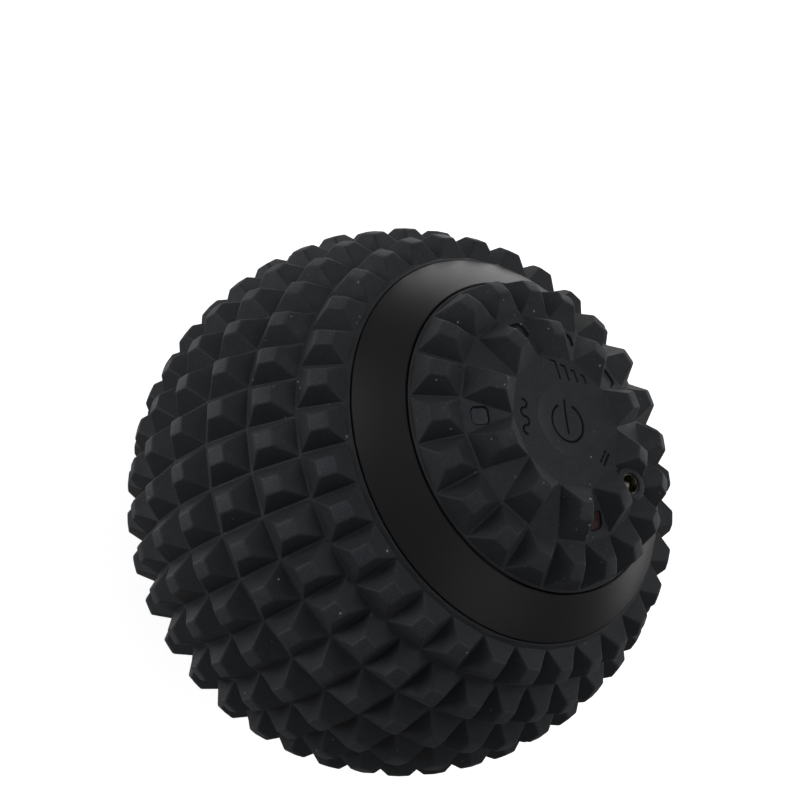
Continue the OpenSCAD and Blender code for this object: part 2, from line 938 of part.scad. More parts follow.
// A half disc that throws its weight to +Y, clamped on the shaft
module eccentric_weight() {
    difference() {
        union() {
            intersection() {
                cylinder(r = weight_r, h = weight_h);
                translate([-20, 0, -1])
                    cube([40, 20, 20]);
            }
            cylinder(r = 4.2, h = weight_h);
        }
        translate([0, 0, -1])
            cylinder(r = shaft_r + 0.02, h = weight_h + 2);
        translate([0, 0, weight_h / 2])
            rotate([90, 0, 0])
                cylinder(r = 1.3, h = 10);
    }
}
weight_z = 21.5;
module upper_weight() {
    color([0.7, 0.6, 0.35])
        translate([0, 0, weight_z])
            eccentric_weight();
}
module lower_weight() {
    color([0.7, 0.6, 0.35])
        translate([0, 0, -weight_z - weight_h])
            eccentric_weight();
}
module weight_screws() {
    color([0.3, 0.3, 0.32])
        for (s = [-1, 1])
            translate([0, -1.6, s * (weight_z + weight_h / 2)])
                rotate([90, 0, 0])
                    cylinder(r = 1.27, h = 2.4);
}

main_sleeve();
control_cap();
far_cap();
power_button();
button_plunger();
upper_housing();
lower_housing();
housing_seal();
housing_screws();
control_board();
board_screws();
board_chips();
lead_connectors();
switch_body();
switch_actuator();
level_leds();
mode_led();
charge_led();
level_windows();
mode_window();
charge_window();
dc_jack_body();
dc_jack_sleeve();
dc_pin();
cradle_upper();
cradle_lower();
battery_cells();
cell_straps();
cell_pads();
battery_leads();
motor_leads();
motor_can();
motor_end_bell();
motor_magnets();
motor_brushes();
motor_bushes();
motor_dampers();
motor_shaft();
motor_rotor();
commutator();
upper_weight();
lower_weight();
weight_screws();
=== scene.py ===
import json
import math
import bmesh
import bpy
import numpy as np
from mathutils import Matrix, Vector


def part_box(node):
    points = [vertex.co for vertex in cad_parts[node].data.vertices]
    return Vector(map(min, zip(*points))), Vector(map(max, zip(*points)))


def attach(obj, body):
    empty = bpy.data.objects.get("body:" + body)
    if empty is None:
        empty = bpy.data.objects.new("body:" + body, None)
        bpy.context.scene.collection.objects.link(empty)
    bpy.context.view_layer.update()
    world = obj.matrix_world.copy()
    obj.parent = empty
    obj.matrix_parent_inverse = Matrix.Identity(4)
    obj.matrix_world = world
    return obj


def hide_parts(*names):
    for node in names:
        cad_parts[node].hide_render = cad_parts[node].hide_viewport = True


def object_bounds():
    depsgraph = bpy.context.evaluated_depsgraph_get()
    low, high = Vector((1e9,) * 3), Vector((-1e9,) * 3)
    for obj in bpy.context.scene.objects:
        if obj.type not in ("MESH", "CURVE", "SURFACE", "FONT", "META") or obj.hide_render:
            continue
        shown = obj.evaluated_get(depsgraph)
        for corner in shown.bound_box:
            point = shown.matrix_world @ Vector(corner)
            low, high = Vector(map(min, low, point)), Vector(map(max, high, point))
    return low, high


# Massage ball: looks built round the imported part. Everything is made in millimetres
# in the part's frame (+Z out through the power button, +X towards the charging
# socket) and scaled to metres when it becomes an object.

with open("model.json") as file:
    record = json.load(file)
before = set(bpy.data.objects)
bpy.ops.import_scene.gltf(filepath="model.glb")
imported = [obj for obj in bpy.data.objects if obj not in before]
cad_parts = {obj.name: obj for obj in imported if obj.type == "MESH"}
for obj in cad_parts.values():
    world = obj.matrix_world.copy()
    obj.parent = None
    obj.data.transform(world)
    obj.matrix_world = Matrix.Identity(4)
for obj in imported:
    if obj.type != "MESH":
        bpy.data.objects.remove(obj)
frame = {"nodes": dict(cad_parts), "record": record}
CAD_LO, CAD_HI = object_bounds()
MM = 0.001
D2R = math.pi / 180
MERGE = 0.0005          # points closer than this many mm become one
scene = bpy.context.scene

# ------------------------------------------------------------------ measures
# Lengths in mm. Names ending in _T are angles down from +Z and names ending in _F are
# angles round it from +X, both in degrees.
TOP_R = 63.5            # over the studs
BASE_R = 59.6           # floors of the grooves
SKIN_IN_R = 57.5        # inside of the silicone
SHELL_R = 57.0          # outside of the housing under it
EDGE_R = 0.3            # rounding of a skin's edge beside the band
GROOVE_W = 0.5          # between two studs
FLAT_L = 4.0            # a stud's flat, down the meridian
FLAT_W = 3.7            # and across it
STEPS = 3               # pieces in each rounded corner
K = STEPS + 1           # points in each rounded corner
FOOT = 0.16             # fillet between a flank and the groove's floor
LIP = 0.34              # rounding of a stud's top edge
FOOT_CORNER = 0.12      # rounding of a stud's outline on the groove's floor
HIP_FOOT = 0.25         # rounding of the corner between two flanks, at the foot
HIP_TOP = 0.75          # and at the top
CROWN = 0.1             # rise of a flat's middle

SLEEVE_T = 49.2         # the sleeve's edge; the other one is 180 - this
ROWS = 7
EDGE_STUDS = 32         # in the first and the last row
MID_STUDS = 36          # in the rows between
APRON_SLEEVE = 1.4      # plain strip beside the sleeve's edge, in degrees
SLEEVE_RINGS = 96, 16   # points round, and steps down, of the sleeve's inside

CAP_T = 37.2            # the cap's edge
CAP_STUDS = 10          # in the inner ring; the outer ring has twice as many
APRON_CAP = 0.6         # plain strip beside the cap's edge, in degrees
FACE_T = 15.1           # where the studs begin, round the flat face
RING_T = 26.2           # between the two rings
INNER_FLAT_T = 19.6     # middles of the studs' flats
OUTER_FLAT_T = 31.6
FACE_Z = BASE_R * math.cos(FACE_T * D2R)
FACE_RING_R = 14.3      # outermost round ring of the flat face's mesh
FACE_POINTS = 720       # round it where it is engraved
PLAIN_FACE_POINTS = 180
FACE_STEP = 0.085       # between its rings
RIM_POINTS = 540        # round a skin's edge
CAP_IN_POINTS = 90      # round a cap's inside
CAP_IN_T = CAP_T - 1, 33, 30.5
INNER_R = 58.2          # corners of the faceted inside, whose flats clear the housing
INNER_T = 17.4, 27.5
INNER_END_Z = 54.9      # flat end of the inside
INNER_END_R = 16        # a round ring in it, where there is no button

BUTTON_R = 8.35
HOLE_WALL_R = BUTTON_R + 0.02
BUTTON_EDGE = 0.2       # step round the button's underside
STEM_HOLE_R = 2.95      # recess under the button for the plunger
STEM_HOLE_L = 0.8
DISH_R = 8.05
DISH_DEPTH = 0.8
DISH_SOFT = 0.004       # softens the dish's rim, in mm squared
BUTTON_POINTS = 480
BUTTON_STEP = 0.08      # between the rings of its mesh

VALLEY_T = 22.3         # the windows' direction
LEVEL_F = (72, 108, 144)
MODE_F = 216
CHARGE_F = 324
WINDOW_W = 3.9
WINDOW_R = 1.1          # its corners
WINDOW_GAP = 0.1        # between a lens and its hole
WINDOW_TOP = 58.85
LENS_CROWN = 0.03
PIPE_R = 1.5            # the lens's foot, which reaches down to the lamp
PIPE_END = 52.4
PIPE_POINTS = 36

SOCKET_X = 21.4
SOCKET_HOLE_R = 2.33
LAND_R = 4.0            # the round land that the socket's hole stands in
LAND_EDGE = 0.6         # rounding of its edge
MOUTH_EDGE = 0.32       # rounding of the hole's mouth
MOUTH_RISE = 0.06       # the mouth's lip over the flat face
SOCKET_POINTS = 128     # round the land and the hole

ENGRAVE = 0.35          # depth of engraved lines
LINE_W = 0.46           # their width on the cap
POWER_LINE_W = 0.5      # and on the button
SYMBOL_F = 124          # where the level symbol stands
POWER_TURN = 3          # turn of the power symbol from it
POWER_OFFSET = 1.15     # its offset from the button's middle
SOCKET_F = 0


def sph(r, t, f):
    """Point at radius r, angle t down from +Z and angle f round it, in degrees."""
    t, f = t * D2R, f * D2R
    return Vector((r * math.sin(t) * math.cos(f), r * math.sin(t) * math.sin(f),
                   r * math.cos(t)))


def toward(t, f):
    """Axes of a frame whose Z points to t, f; X runs down the meridian."""
    z = sph(1, t, f)
    x = sph(1, t + 90, f)
    return x, z.cross(x), z


def circle(r, n):
    """Points (x, y) round a circle, from angle 0."""
    return [(r * math.cos(2 * math.pi * k / n), r * math.sin(2 * math.pi * k / n))
            for k in range(n)]


# ------------------------------------------------------------ rounded studs
def bez(a, e, c, t):
    """Point at share t of a curve from a to c that bends towards e."""
    return a * (1 - t) ** 2 + e * (2 * t * (1 - t)) + c * t ** 2


def toward_point(p, q, d):
    """Point a length d from p towards q, but never past their middle."""
    v = q - p
    return p + v * min(d / max(v.length, 1e-9), 0.49)


def ring(quad, w):
    """The outline of a four-cornered shape with its corners rounded over a length w."""
    out = []
    for i in range(4):
        p = quad[i]
        a = toward_point(p, quad[i - 1], w)
        b = toward_point(p, quad[(i + 1) % 4], w)
        for k in range(K):
            out.append(bez(a, p, b, k / STEPS))
    return out


def shrink(quad, d):
    """Moves each corner along its own diagonal so that the sides move in by about d."""
    out = []
    for i in range(4):
        a = (quad[i - 1] - quad[i]).normalized()
        b = (quad[(i + 1) % 4] - quad[i]).normalized()
        out.append(quad[i] + (a + b) * d)
    return out


def stud_rings(foot, top):
    """Rings of a stud from its foot on the groove's floor to the middle of its flat."""
    up = [top[i] - foot[i] for i in range(4)]
    length = sum(u.length for u in up) / 4
    out_foot = shrink(foot, -FOOT)
    on_flank = [foot[i] + up[i] * (FOOT / length) for i in range(4)]
    rings = [ring(out_foot, FOOT_CORNER)]
    for t in (0.35, 0.7):
        q = [bez(out_foot[i], foot[i], on_flank[i], t) for i in range(4)]
        rings.append(ring(q, HIP_FOOT * 0.8))
    rings.append(ring(on_flank, HIP_FOOT))
    below = [top[i] - up[i] * (LIP / length) for i in range(4)]
    rings.append(ring([on_flank[i].lerp(below[i], 0.5) for i in range(4)],
                      (HIP_FOOT + HIP_TOP) / 2))
    rings.append(ring(below, HIP_TOP))
    inside = shrink(top, LIP)
    for t in (0.33, 0.67):
        q = [bez(below[i], top[i], inside[i], t) for i in range(4)]
        rings.append(ring(q, HIP_TOP))
    rings.append(ring(inside, HIP_TOP * 0.8))
    mid = sum(top, Vector()) / 4
    lift = mid.normalized() * CROWN
    rings.append(ring([inside[i].lerp(mid, 0.5) + lift / 2 for i in range(4)], HIP_TOP * 0.4))
    return rings, mid + lift


class Skin:
    """A mesh in mm, built from shared points."""

    def __init__(self):
        self.points = []
        self.faces = []
        self.groove_shade = {}       # share of engraving at a point, which the material turns into painted shade in the lines

    def add(self, p):
        self.points.append(p)
        return len(self.points) - 1

    def ring(self, pts):
        """Adds points and returns their numbers."""
        return [self.add(p) for p in pts]

    def band(self, a, b):
        """Quads between two closed rings of equal length, a above or outside b."""
        n = len(a)
        for i in range(n):
            j = (i + 1) % n
            self.faces.append((a[i], a[j], b[j], b[i]))

    def fan(self, a, middle):
        """Triangles from a closed ring to one new point."""
        m = self.add(middle)
        for i in range(len(a)):
            self.faces.append((a[i], a[(i + 1) % len(a)], m))

    def bands(self, rings):
        """Quads between each ring and the next."""
        for a, b in zip(rings, rings[1:]):
            self.band(a, b)

    def level_ring(self, r, z, n):
        """A level ring about the Z axis."""
        return self.ring([Vector((x, y, z)) for x, y in circle(r, n)])

    def grid(self, flat, deep, z, n):
        """Rings of n points each from places (x, y), heights and engraved depths."""
        ids = [self.add(Vector((x, y, h - d))) for (x, y), h, d in zip(flat, z, deep)]
        self.groove_shade.update((i, d / ENGRAVE) for i, d in zip(ids, deep) if d > 0)
        rings = [ids[k:k + n] for k in range(0, len(ids), n)]
        self.bands(rings)
        return rings

    def stud(self, foot, top):
        """Adds a stud and returns its outermost ring's point numbers."""
        rings, mid = stud_rings(foot, top)
        ids = [self.ring(r) for r in rings]
        self.bands(ids)
        self.fan(ids[-1], mid)
        return ids[0]

    def fill(self, loop_a, loop_b):
        """Triangles between two closed loops of (angle, point number). A long edge of
        one loop is met by the other loop's point nearest to its middle."""
        a = sorted(loop_a)
        b = sorted(loop_b)
        n, m = len(a), len(b)
        k = min(range(m), key=lambda q: abs((b[q][0] - a[0][0] + 180) % 360 - 180))
        shift = (b[k][0] - a[0][0] + 180) % 360 - 180 + a[0][0] - b[k][0]
        b = [(t + shift, q) for t, q in b[k:]] + [(t + shift + 360, q) for t, q in b[:k]]

        def middle(loop, at):
            size = len(loop)
            return (loop[at % size][0] + 360 * (at // size) + loop[(at + 1) % size][0]
                    + 360 * ((at + 1) // size)) / 2

        i = j = 0
        while i < n or j < m:
            if j >= m or (i < n and middle(a, i) <= middle(b, j)):
                self.faces.append((a[i % n][1], a[(i + 1) % n][1], b[j % m][1]))
                i += 1
            else:
                self.faces.append((a[i % n][1], b[(j + 1) % m][1], b[j % m][1]))
                j += 1

    def make(self, name, flip=False):
        """Turns the skin into an object, mirrored to the far end if flip is set."""
        side = -1 if flip else 1
        me = bpy.data.meshes.new(name)
        me.from_pydata([Vector((p.x, p.y, side * p.z)) * MM for p in self.points],
                       [], self.faces)
        groove_shade = me.attributes.new("engraved", "FLOAT", "POINT")
        groove_shade.data.foreach_set("value", [self.groove_shade.get(i, 0.0) for i in range(len(self.points))])
        bm = bmesh.new()
        bm.from_mesh(me)
        bmesh.ops.remove_doubles(bm, verts=bm.verts, dist=MERGE * MM)
        bmesh.ops.dissolve_degenerate(bm, edges=bm.edges, dist=MERGE * MM)
        loose = [v for v in bm.verts if not v.link_faces]
        bmesh.ops.delete(bm, geom=loose, context="VERTS")
        bmesh.ops.recalc_face_normals(bm, faces=bm.faces)
        for f in bm.faces:
            f.smooth = True
        bm.to_mesh(me)
        bm.free()
        ob = bpy.data.objects.new(name, me)
        scene.collection.objects.link(ob)
        mod = ob.modifiers.new("flat_faces_stay_flat", "WEIGHTED_NORMAL")
        mod.mode = "FACE_AREA"
        mod.weight = 60
        mod.keep_sharp = False
        return ob


def half_f(n, t):
    """Half the angle across one of n studs, less its half of the groove, at t."""
    return 180 / n - GROOVE_W / 2 / (BASE_R * math.sin(t * D2R)) / D2R


def corners_at(r, t0, t1, f, h0, h1):
    """Four corners at radius r about the direction f, with half widths h0 and h1."""
    return [sph(r, t0, f - h0), sph(r, t0, f + h0), sph(r, t1, f + h1), sph(r, t1, f - h1)]


def flat_quad(tc, fc):
    """A stud's flat."""
    ht = FLAT_L / 2 / TOP_R / D2R
    hf = FLAT_W / 2 / (TOP_R * math.sin(tc * D2R)) / D2R
    return corners_at(TOP_R, tc - ht, tc + ht, fc, hf, hf)


def loop_of(s, ids):
    """Point numbers with their angles about the Z axis."""
    return [(math.degrees(math.atan2(s.points[i].y, s.points[i].x)) % 360, i) for i in ids]


# ---------------------------------------------------------------- the sleeve
def row_t(r):
    """Angle at which row r begins."""
    return SLEEVE_T + (180 - 2 * SLEEVE_T) / ROWS * r


def row_n(r):
    """Number of studs in row r."""
    return EDGE_STUDS if r in (0, ROWS - 1) else MID_STUDS


def row_foot(r, i):
    """Direction and foot of stud i in row r."""
    g = GROOVE_W / 2 / BASE_R / D2R
    n = row_n(r)
    t0 = row_t(r) + (APRON_SLEEVE if r == 0 else g)
    t1 = row_t(r + 1) - (APRON_SLEEVE if r == ROWS - 1 else g)
    f = 360 / n * i if n == EDGE_STUDS else 360 / n * (i + 0.5)
    return f, corners_at(BASE_R, t0, t1, f, half_f(n, t0), half_f(n, t1))


def upper_chain(s, rings):
    """The ends of the studs' upper edges; flares() fills what lies between studs."""
    return loop_of(s, [k for ids in rings for k in (ids[K - 1], ids[K])])


def lower_chain(s, rings):
    return loop_of(s, [k for ids in rings for k in (ids[3 * K], ids[3 * K - 1])])


def flares(s, a, b):
    """The widening ends of the floor between stud a and the next one, b, where the
    corners of both are rounded."""
    for k in range(K - 1):
        s.faces.append((a[2 * K - 1 - k], a[2 * K - 2 - k], b[k + 1], b[k]))
        s.faces.append((a[2 * K + k], b[4 * K - 1 - k], b[4 * K - 2 - k], a[2 * K + k + 1]))


def channels(s, rings):
    """The floors between neighbouring studs of a row."""
    n = len(rings)
    for i in range(n):
        a, b = rings[i], rings[(i + 1) % n]
        s.faces.append((a[2 * K - 1], b[0], b[4 * K - 1], a[2 * K]))
        flares(s, a, b)


def join(s, a, b):
    """Quads between two rings that carry their angles."""
    s.band([i for _, i in a], [i for _, i in b])


def plain_ring(s, n, r, t):
    """A new ring of n points at radius r and angle t, with their angles."""
    return [(360 / n * i, s.add(sph(r, t, 360 / n * i))) for i in range(n)]


def rim(s, chain, t, way):
    """From the apron over a rounded edge to the skin's inside. way is 1 where the
    skin lies below the edge, and -1 where it lies above. Returns the inner ring."""
    e = EDGE_R / BASE_R / D2R
    last = plain_ring(s, RIM_POINTS, BASE_R, t + way * e)
    s.fill(chain, last)
    turn = [k * math.pi / 2 for k in (0.2, 0.5, 0.8, 1.0)]
    profile = [(BASE_R - EDGE_R * (1 - math.cos(a)), t + way * e * (1 - math.sin(a)))
               for a in turn]
    for r, tt in profile + [(SKIN_IN_R + 0.2, t), (SKIN_IN_R, t + way * e)]:
        new = plain_ring(s, RIM_POINTS, r, tt)
        join(s, last, new)
        last = new
    return last


def build_sleeve():
    """The studded sleeve round the middle, open at both ends."""
    s = Skin()
    rows = []
    for r in range(ROWS):
        ids = []
        for i in range(row_n(r)):
            f, foot = row_foot(r, i)
            ids.append(s.stud(foot, flat_quad((row_t(r) + row_t(r + 1)) / 2, f)))
        rows.append(ids)
        channels(s, ids)
    for r in range(ROWS - 1):
        s.fill(lower_chain(s, rows[r]), upper_chain(s, rows[r + 1]))
    top = rim(s, upper_chain(s, rows[0]), SLEEVE_T, 1)
    bottom = rim(s, lower_chain(s, rows[-1]), 180 - SLEEVE_T, -1)
    n, steps = SLEEVE_RINGS
    t0 = SLEEVE_T + 1
    inside = [plain_ring(s, n, SKIN_IN_R, t0 + (180 - 2 * t0) * k / steps)
              for k in range(steps + 1)]
    s.fill(top, inside[0])
    for a, b in zip(inside, inside[1:]):
        join(s, a, b)
    s.fill(inside[-1], bottom)
    return s.make("silicone_sleeve")


# ------------------------------------------------------------------ engraving
def seg_dist(p, a, b):
    """Distance to a straight stroke from a to b."""
    p, a, b = np.asarray(p), np.asarray(a, float), np.asarray(b, float)
    ab = b - a
    t = np.clip(((p - a) @ ab) / (ab @ ab), 0, 1)
    return np.linalg.norm(p - a - t[:, None] * ab, axis=1)


def arc_dist(p, c, r, a0, a1):
    """Distance to an arc of radius r round c that runs from a0 up to a1 degrees."""
    q = np.asarray(p) - np.asarray(c, float)
    mid, half = (a0 + a1) / 2, (a1 - a0) / 2
    ang = np.degrees(np.arctan2(q[:, 1], q[:, 0]))
    off = np.clip((ang - mid + 180) % 360 - 180, -half, half) + mid
    near_pt = r * np.stack([np.cos(off * D2R), np.sin(off * D2R)], 1)
    return np.linalg.norm(q - near_pt, axis=1)


def turned(p, f):
    """Points in a symbol's own axes, with Y towards the angle f."""
    a = (90 - f) * D2R
    c, s = math.cos(a), math.sin(a)
    p = np.asarray(p)
    return np.stack([p[:, 0] * c - p[:, 1] * s, p[:, 0] * s + p[:, 1] * c], 1)


def power_dist(p):
    """The power symbol: a broken ring with a bar through its gap."""
    q = turned(p, SYMBOL_F + POWER_TURN) - np.array([POWER_OFFSET, 0])
    d = arc_dist(q, (0, 0), 4.4, 90 + 30 - 360, 90 - 30)
    return np.minimum(d, seg_dist(q, (0, -2.4), (0, 5.2)))


def level_dist(p):
    """The level symbol: four leaning strokes that grow from right to left."""
    q = turned(p, SYMBOL_F)
    d = np.full(len(q), 9.0)
    for i in range(4):
        rise, x = 3.85 - 0.78 * i, 0.2 + 2.55 * i
        top = (x - 0.26 * rise, 10.2 + rise)
        d = np.minimum(d, seg_dist(q, (x, 10.2), top))
        d = np.minimum(d, seg_dist(q, top, (top[0] - 1.2 + 0.15 * i, top[1] + 0.15)))
    return d


def wave_dist(p):
    """The mode symbol: a wave of four half circles."""
    q = turned(p, MODE_F)
    d = np.full(len(q), 9.0)
    for i in range(4):
        c = ((i - 1.5) * 2, 11.9)
        a0 = 0 if i % 2 == 0 else 180
        d = np.minimum(d, arc_dist(q, c, 1, a0, a0 + 180))
    return d


def dc_dist(p):
    """The direct current symbol: a line over three dashes."""
    q = turned(p, SOCKET_F)
    d = seg_dist(q, (-1.7, 13.2), (1.7, 13.2))
    for x in (-1.35, 0, 1.35):
        d = np.minimum(d, seg_dist(q, (x - 0.3, 12.1), (x + 0.3, 12.1)))
    return d


def cut(dist, width, side=0.14):
    """Depth of an engraved line: flat floor with steep soft sides."""
    t = np.clip((width / 2 + side / 2 - dist) / side, 0, 1)
    return ENGRAVE * t * t * (3 - 2 * t)


def polar_grid(radii, n):
    """Points (x, y) on circles, n to each."""
    return np.array([p for r in radii for p in circle(r, n)])


# ------------------------------------------------------------------- the caps
def inner_stud(i):
    """Foot and flat of a stud in the cap's inner ring."""
    g = GROOVE_W / 2 / BASE_R / D2R
    g0 = GROOVE_W / 2 / (BASE_R * math.sin(FACE_T * D2R)) / D2R
    step = 360 / CAP_STUDS
    f0, f1 = step * i, step * (i + 1)
    foot = [sph(BASE_R, FACE_T, f0 + g0), sph(BASE_R, FACE_T, f1 - g0),
            sph(BASE_R, RING_T - g, f1 - step / 4), sph(BASE_R, RING_T - g, f0 + step / 4)]
    return foot, flat_quad(INNER_FLAT_T, (f0 + f1) / 2)


def outer_stud(i):
    """Foot and flat of a stud in the cap's outer ring."""
    g = GROOVE_W / 2 / BASE_R / D2R
    n = 2 * CAP_STUDS
    f = 360 / n * i
    t0, t1 = RING_T + g, CAP_T - APRON_CAP
    foot = corners_at(BASE_R, t0, t1, f, half_f(n, t0), half_f(n, t1))
    return foot, flat_quad(OUTER_FLAT_T, f)


def window_outline(grow=0.0, arc=8):
    """Outline of a window's hole in its own plane, as a square with rounded corners.
    Starts at angle 0 and runs anticlockwise."""
    half, r = WINDOW_W / 2 + WINDOW_GAP + grow, WINDOW_R + grow
    out = []
    for q, (cx, cy) in enumerate(((1, 1), (-1, 1), (-1, -1), (1, -1))):
        for k in range(arc + 1):
            a = (q + k / arc) * math.pi / 2
            out.append((cx * (half - r) + r * math.cos(a), cy * (half - r) + r * math.sin(a)))
    return out


def plane_loop(s, ids, origin, ax, ay):
    """Point numbers with their angles about an origin, in a plane's own axes."""
    return [(math.degrees(math.atan2((s.points[i] - origin).dot(ay),
                                     (s.points[i] - origin).dot(ax))) % 360, i) for i in ids]


def normal_of(s, ids):
    p = [s.points[i] for i in ids[:3]]
    return (p[1] - p[0]).cross(p[2] - p[1]).normalized()


def window_valley(s, f, outer_ids, inner_ids):
    """A window's hole between a valley's floor and the skin's inside."""
    ax, ay, az = toward(VALLEY_T, f)
    origin = az * (sum(s.points[i].dot(az) for i in outer_ids) / 4)

    def outline(grow, on, sink=0.0):
        """A ring whose heights follow the plane of the points numbered on."""
        n = normal_of(s, on)
        out = []
        for x, y in window_outline(grow):
            p = ax * x + ay * y
            out.append(p + az * ((s.points[on[0]] - p).dot(n) / az.dot(n) - sink))
        return s.ring(out)

    # a rounded mouth, then straight down through the skin
    ledge = outline(0.22, outer_ids)
    s.fill(plane_loop(s, outer_ids, origin, ax, ay), plane_loop(s, ledge, origin, ax, ay))
    wall = [outline(grow, outer_ids, sink)
            for grow, sink in ((0.13, 0.02), (0.05, 0.08), (0.0, 0.2), (0.0, 0.9))]
    end = outline(0.0, inner_ids)
    s.bands([ledge] + wall + [end])
    s.fill(plane_loop(s, end, origin, ax, ay), plane_loop(s, inner_ids, origin, ax, ay))


def quarter(steps):
    """Shares of a rounded edge's width and height, from its start to its end."""
    turn = [math.pi / 2 * k / steps for k in range(1, steps + 1)]
    return [(1 - math.cos(a), 1 - math.sin(a)) for a in turn]


def socket_valley(s, outer_ids, inner_ids):
    """The valley with the charging socket: a round land level with the face stands in
    it, with the socket's hole down through the skin."""
    n = SOCKET_POINTS
    p0, p1, p2, p3 = [s.points[i] for i in outer_ids]
    x_axis, y_axis = Vector((1, 0, 0)), Vector((0, 1, 0))

    def around(r, height):
        return s.ring([Vector((SOCKET_X + x, y, height(SOCKET_X + x, y)))
                       for x, y in circle(r, n)])

    def floor_z(x):
        return p0.z + (p3.z - p0.z) * (x - p0.x) / (p3.x - p0.x)

    # outside wall from the floor up, rounded edge, flat, rounded mouth and bore
    rings = [around(LAND_R + out, lambda x, y, up=up: floor_z(x) + up)
             for out, up in ((0.25, -0.25), (0.06, 0.2), (0.0, 0.5))]
    profile = [(LAND_R, FACE_Z - LAND_EDGE)]
    profile += [(LAND_R - LAND_EDGE * c, FACE_Z - LAND_EDGE * d) for c, d in quarter(6)]
    lip = FACE_Z + MOUTH_RISE
    profile += [(SOCKET_HOLE_R + 0.75, FACE_Z), (SOCKET_HOLE_R + 0.55, lip),
                (SOCKET_HOLE_R + MOUTH_EDGE, lip)]
    profile += [(SOCKET_HOLE_R + MOUTH_EDGE * d, lip - 0.3 * c) for c, d in quarter(5)]
    profile += [(SOCKET_HOLE_R, 55.5), (SOCKET_HOLE_R, 54.0)]
    rings += [around(r, lambda x, y, z=z: z) for r, z in profile]
    # down to the sloping inside of the skin
    q, norm = s.points[inner_ids[0]], normal_of(s, inner_ids)
    end = around(SOCKET_HOLE_R,
                 lambda x, y: q.z - ((x - q.x) * norm.x + (y - q.y) * norm.y) / norm.z)
    s.bands(rings + [end])
    o = Vector((SOCKET_X, 0, 0))
    s.fill(plane_loop(s, end, o, x_axis, y_axis), plane_loop(s, inner_ids, o, x_axis, y_axis))
    # what shows of the valley's floor before and behind the land
    for near, far, start in (((p0, p1), (p3, p2), 90), ((p3, p2), (p0, p1), -90)):
        arc = []
        for k in range(n + 1):
            a = (start + 180 * k / n) * D2R
            x = SOCKET_X + (LAND_R - 0.2) * math.cos(a)
            y = (LAND_R - 0.2) * math.sin(a)
            share = (x - near[0].x) / (far[0].x - near[0].x)
            sides = sorted(near[m].y + (far[m].y - near[m].y) * share for m in (0, 1))
            if sides[0] < y < sides[1]:
                arc.append(Vector((x, y, near[0].z + (far[0].z - near[0].z) * share)))
        if len(arc) > 1:
            ahead = (near[1] - near[0]).dot(arc[0] - arc[-1]) > 0
            s.faces.append(tuple(s.ring(list(near if ahead else near[::-1]) + arc)))


def build_cap(name, controls):
    """A studded cap. The one with controls has the windows, the socket, the engraved
    symbols and the button's hole, and the other one is turned to the far end."""
    s = Skin()
    inner = [s.stud(*inner_stud(i)) for i in range(CAP_STUDS)]
    # the ring's inner side lies in the flat face
    for k in [k for ids in inner for k in ids[0:2 * K]]:
        p = s.points[k]
        if (abs(p.z - FACE_Z) < 0.2
                and math.hypot(p.x, p.y) < BASE_R * math.sin(FACE_T * D2R)):
            s.points[k] = Vector((p.x, p.y, FACE_Z))
    outer = [s.stud(*outer_stud(i)) for i in range(2 * CAP_STUDS)]
    channels(s, outer)
    s.fill(lower_chain(s, inner), upper_chain(s, outer))

    # inside of the skin: a flat end, a ring of flats under the valleys, then round
    step = 360 / CAP_STUDS
    corners = [[s.add(sph(INNER_R, t, step * (i + 0.5))) for i in range(CAP_STUDS)]
               for t in INNER_T]
    windows = [round(f / step) for f in LEVEL_F + (MODE_F, CHARGE_F)]
    for i in range(CAP_STUDS):
        a, b = inner[i - 1], inner[i]
        flares(s, a, b)
        valley = (a[2 * K - 1], b[0], b[4 * K - 1], a[2 * K])
        under = (corners[0][i - 1], corners[0][i], corners[1][i], corners[1][i - 1])
        if controls and i == round(SOCKET_F / step):
            socket_valley(s, valley, under)
        elif controls and i in windows:
            window_valley(s, step * i, valley, under)
        else:
            s.faces += [valley, under]

    # the flat face, with its engraving
    if controls:
        n = FACE_POINTS
        radii = list(np.arange(FACE_RING_R, HOLE_WALL_R + 0.12, -FACE_STEP))
        radii += [HOLE_WALL_R + 0.06, HOLE_WALL_R]
    else:
        n = PLAIN_FACE_POINTS
        radii = list(np.linspace(FACE_RING_R, 0.6, 24))
    flat = polar_grid(radii, n)
    deep = np.zeros(len(flat))
    if controls:
        for dist in (level_dist, wave_dist, dc_dist):
            deep = np.maximum(deep, cut(dist(flat), LINE_W))
    rings = s.grid(flat, deep, np.full(len(flat), FACE_Z), n)
    s.fill(upper_chain(s, inner), loop_of(s, rings[0]))
    if controls:
        wall = [s.level_ring(HOLE_WALL_R, z, n)
                for z in (FACE_Z - 0.12, FACE_Z - 0.5, INNER_END_Z)]
        s.bands([rings[-1]] + wall)
        end = wall[-1]
    else:
        s.fan(rings[-1], Vector((0, 0, FACE_Z)))
        end = s.level_ring(INNER_END_R, INNER_END_Z, CAP_IN_POINTS)
        s.fan(end, Vector((0, 0, INNER_END_Z)))
    s.fill(loop_of(s, end), loop_of(s, corners[0]))

    inside = [plain_ring(s, CAP_IN_POINTS, SKIN_IN_R, t) for t in CAP_IN_T]
    s.fill(rim(s, lower_chain(s, outer), CAP_T, -1), inside[0])
    for a, b in zip(inside, inside[1:]):
        join(s, a, b)
    s.fill(inside[-1], loop_of(s, corners[1]))
    return s.make(name, flip=not controls)


